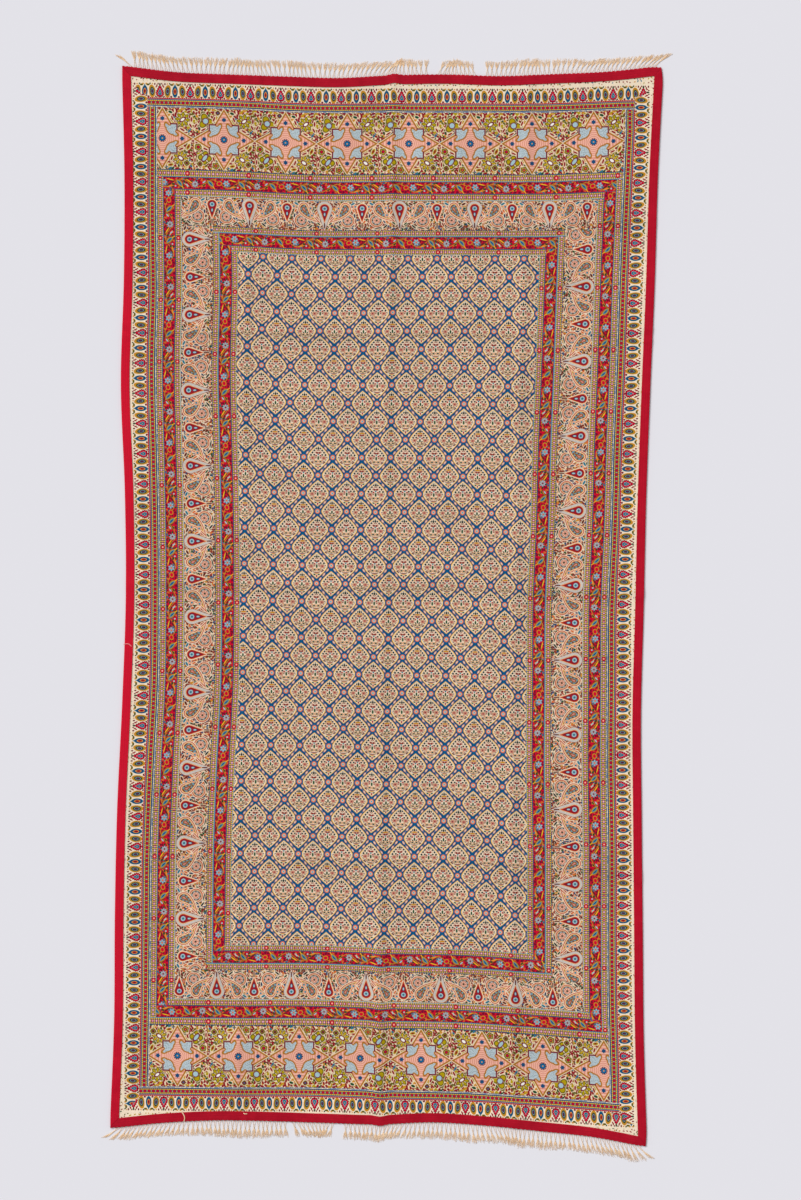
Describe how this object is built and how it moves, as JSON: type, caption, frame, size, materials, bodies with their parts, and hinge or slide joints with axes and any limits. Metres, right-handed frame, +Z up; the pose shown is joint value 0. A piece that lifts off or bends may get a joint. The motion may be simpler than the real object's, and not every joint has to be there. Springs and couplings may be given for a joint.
{
  "type": "kalamkari panel",
  "caption": "Block-printed cotton panel with paisley and flower borders, a bound red edge and a knotted fringe along both ends, lying flat.",
  "frame": {"origin": "centre of the panel's bounding box, on the surface that it lies on", "axes": "+X to the right across the panel, +Y along its length, +Z up out of the printed face"},
  "size_m": [1.0776, 2.111, 0.0054],
  "materials": {
    "printed_cotton": "matt plain-weave cotton, block printed on one face",
    "red_tape": "matt red cotton",
    "fringe_cotton": "soft undyed cotton thread"
  },
  "bodies": {
    "root": {"cloth": "printed_cotton", "binding_left": "red_tape", "binding_right": "red_tape", "binding_top": "red_tape", "binding_bottom": "red_tape", "fringe_top": "fringe_cotton", "fringe_bottom": "fringe_cotton"}
  },
  "joints": []
}
